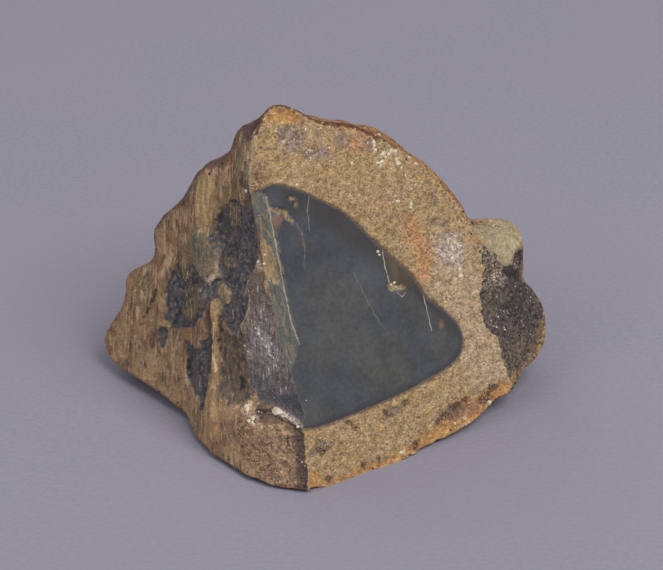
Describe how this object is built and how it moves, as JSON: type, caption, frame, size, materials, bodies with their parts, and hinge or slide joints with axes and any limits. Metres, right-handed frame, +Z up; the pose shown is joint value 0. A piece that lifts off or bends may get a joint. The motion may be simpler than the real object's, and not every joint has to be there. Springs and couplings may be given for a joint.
{
  "type": "broken flint nodule",
  "caption": "Palm-sized flint nodule broken across two faces, with a smooth dark core inside a thick granular rind, a ribbed side break, a lobed knob and a small flat foot.",
  "frame": {"origin": "bottom centre of the stone's box, on the surface it rests on", "axes": "+Z up, +X along the stone's longest extent from the left tip to the knob, -Y towards the front corner between the two main breaks"},
  "size_m": [0.0806, 0.0642, 0.057],
  "materials": {
    "stone": "matt granular ochre-brown rind, satin dark blue-grey flint core on the main break"
  },
  "bodies": {
    "root": {"nodule": "stone"}
  },
  "joints": []
}
